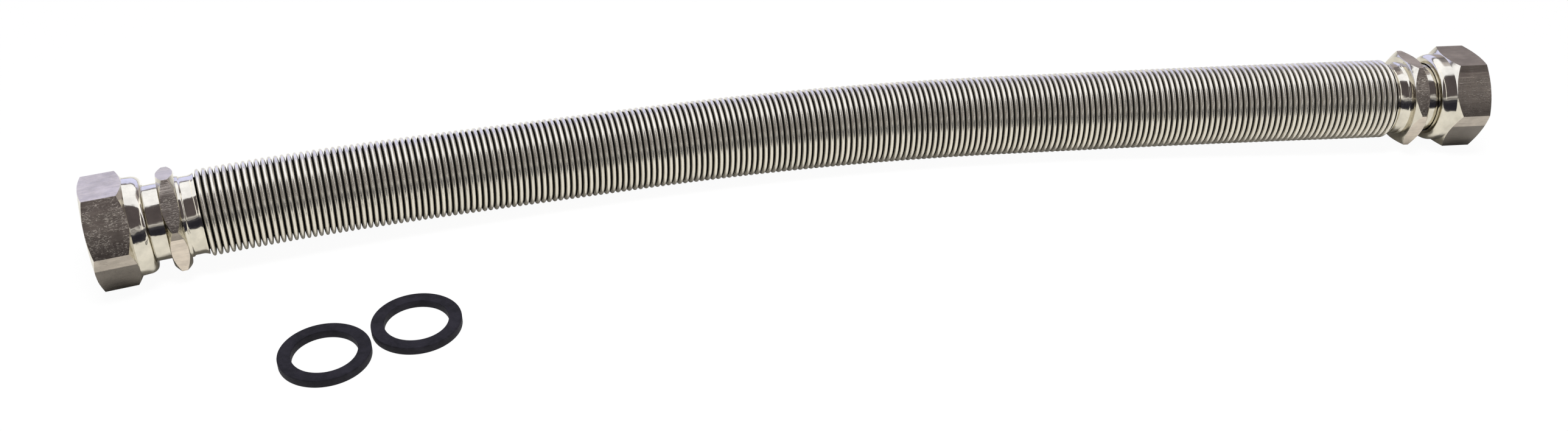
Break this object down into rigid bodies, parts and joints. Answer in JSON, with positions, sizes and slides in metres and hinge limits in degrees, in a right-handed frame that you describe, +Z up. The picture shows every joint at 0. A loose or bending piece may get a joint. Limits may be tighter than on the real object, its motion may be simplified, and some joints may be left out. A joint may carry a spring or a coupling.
{
  "type": "extendable flex hose",
  "caption": "Extendable corrugated steel hose, pushed together and lying in a slight bow, with a swivelling union nut on each end and flat sealing washers beside it.",
  "frame": {"origin": "middle of the base of the bounding box, on the surface that the hose lies on", "axes": "+X along the hose from its left end to its right end as the picture shows it, +Y away from the viewer to the side that the hose bows to, +Z up"},
  "size_m": [0.548, 0.123, 0.0383],
  "materials": {
    "tube_steel": "bright annealed stainless steel",
    "turned_steel": "turned and polished steel",
    "nut_steel": "scratched matte flats, polished chamfers",
    "spring_steel": "plain spring wire",
    "rubber": "matte black"
  },
  "bodies": {
    "hose": {"corrugated_hose": "tube_steel", "left_tail": "turned_steel", "left_spring_ring": "spring_steel", "sealing_washer_1": "rubber", "sealing_washer_2": "rubber"},
    "left_nut": {"left_union_nut": "nut_steel"},
    "right_end": {"right_tail": "turned_steel", "right_spring_ring": "spring_steel"},
    "right_nut": {"right_union_nut": "nut_steel"}
  },
  "joints": [
    {"name": "left_nut_swivel", "type": "hinge", "parent": "hose", "child": "left_nut", "pos_m": [-0.25049, 0.0184, 0.01918], "axis": [-0.9812, -0.1932, 0.0002], "continuous": true},
    {"name": "hose_extend", "type": "slide", "parent": "hose", "child": "right_end", "axis": [1, 0, 0], "range_m": [0, 0.45], "deforming": ["corrugated_hose"]},
    {"name": "right_nut_swivel", "type": "hinge", "parent": "right_end", "child": "right_nut", "pos_m": [0.25219, 0.02011, 0.01918], "axis": [0.9952, -0.0975, 0.0003], "continuous": true}
  ]
}
